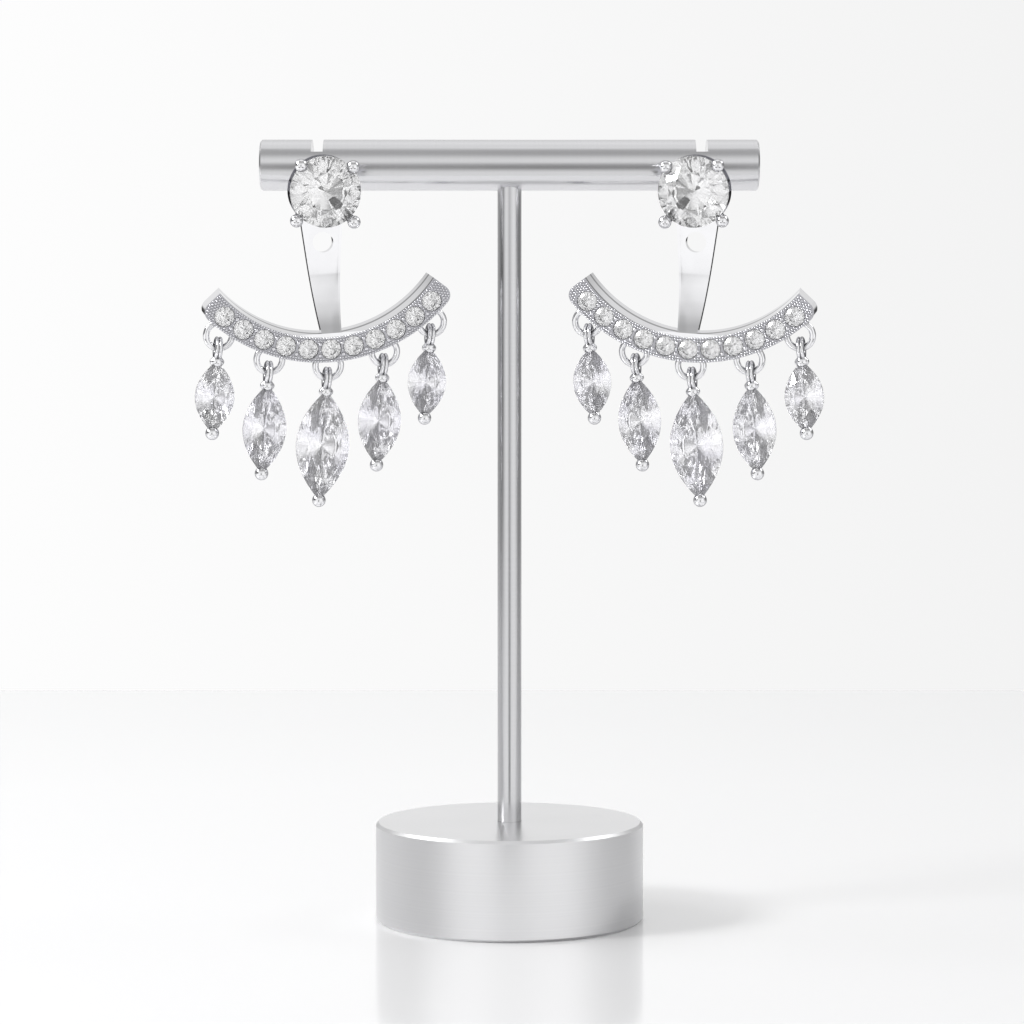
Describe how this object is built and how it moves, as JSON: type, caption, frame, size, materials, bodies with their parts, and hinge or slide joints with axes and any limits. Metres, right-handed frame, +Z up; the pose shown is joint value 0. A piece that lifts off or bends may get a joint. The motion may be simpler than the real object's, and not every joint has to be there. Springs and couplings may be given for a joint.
{
  "type": "pair of tassel ear jacket earrings on a t-bar display stand",
  "caption": "Studs with hanging jackets, each a curved bar of small round stones with a fringe of marquise drops, on a T-bar display stand with a round foot.",
  "frame": {"origin": "centre of the underside of the stand's foot", "axes": "+Z up, the front of the earrings towards -Y, +X to the right as seen from the front"},
  "size_m": [0.0554, 0.024, 0.07],
  "materials": {
    "satin_steel": "turned stainless steel: polished crossbar and stem, satin foot",
    "polished_silver": "rhodium-plated sterling silver, mirror polished",
    "clear_stone": "colourless cubic zirconia, brilliant cut"
  },
  "bodies": {
    "stand": {"stand_base": "satin_steel", "stand_stem": "satin_steel", "stand_bar": "satin_steel", "left_stud_setting": "polished_silver", "left_clutch": "polished_silver", "left_stud_stone": "clear_stone", "right_stud_setting": "polished_silver", "right_clutch": "polished_silver", "right_stud_stone": "clear_stone"},
    "left_jacket": {"left_jacket_frame": "polished_silver", "left_pave_stone_1": "clear_stone", "left_pave_stone_2": "clear_stone", "left_pave_stone_3": "clear_stone", "left_pave_stone_4": "clear_stone", "left_pave_stone_5": "clear_stone", "left_pave_stone_6": "clear_stone", "left_pave_stone_7": "clear_stone", "left_pave_stone_8": "clear_stone", "left_pave_stone_9": "clear_stone", "left_pave_stone_10": "clear_stone", "left_pave_stone_11": "clear_stone", "left_drop_setting_1": "polished_silver", "left_drop_stone_1": "clear_stone", "left_drop_setting_2": "polished_silver", "left_drop_stone_2": "clear_stone", "left_drop_setting_3": "polished_silver", "left_drop_stone_3": "clear_stone", "left_drop_setting_4": "polished_silver", "left_drop_stone_4": "clear_stone", "left_drop_setting_5": "polished_silver", "left_drop_stone_5": "clear_stone"},
    "right_jacket": {"right_jacket_frame": "polished_silver", "right_pave_stone_1": "clear_stone", "right_pave_stone_2": "clear_stone", "right_pave_stone_3": "clear_stone", "right_pave_stone_4": "clear_stone", "right_pave_stone_5": "clear_stone", "right_pave_stone_6": "clear_stone", "right_pave_stone_7": "clear_stone", "right_pave_stone_8": "clear_stone", "right_pave_stone_9": "clear_stone", "right_pave_stone_10": "clear_stone", "right_pave_stone_11": "clear_stone", "right_drop_setting_1": "polished_silver", "right_drop_stone_1": "clear_stone", "right_drop_setting_2": "polished_silver", "right_drop_stone_2": "clear_stone", "right_drop_setting_3": "polished_silver", "right_drop_stone_3": "clear_stone", "right_drop_setting_4": "polished_silver", "right_drop_stone_4": "clear_stone", "right_drop_setting_5": "polished_silver", "right_drop_stone_5": "clear_stone"}
  },
  "joints": [
    {"name": "left_jacket_turn", "type": "hinge", "parent": "stand", "child": "left_jacket", "pos_m": [-0.0177, 0, 0.06645], "axis": [-0.2371, 0.9508, 0.1994], "range_deg": [-12, 90]},
    {"name": "right_jacket_turn", "type": "hinge", "parent": "stand", "child": "right_jacket", "pos_m": [0.0177, 0, 0.06645], "axis": [-0.2371, -0.9508, -0.1994], "range_deg": [-12, 90]}
  ]
}
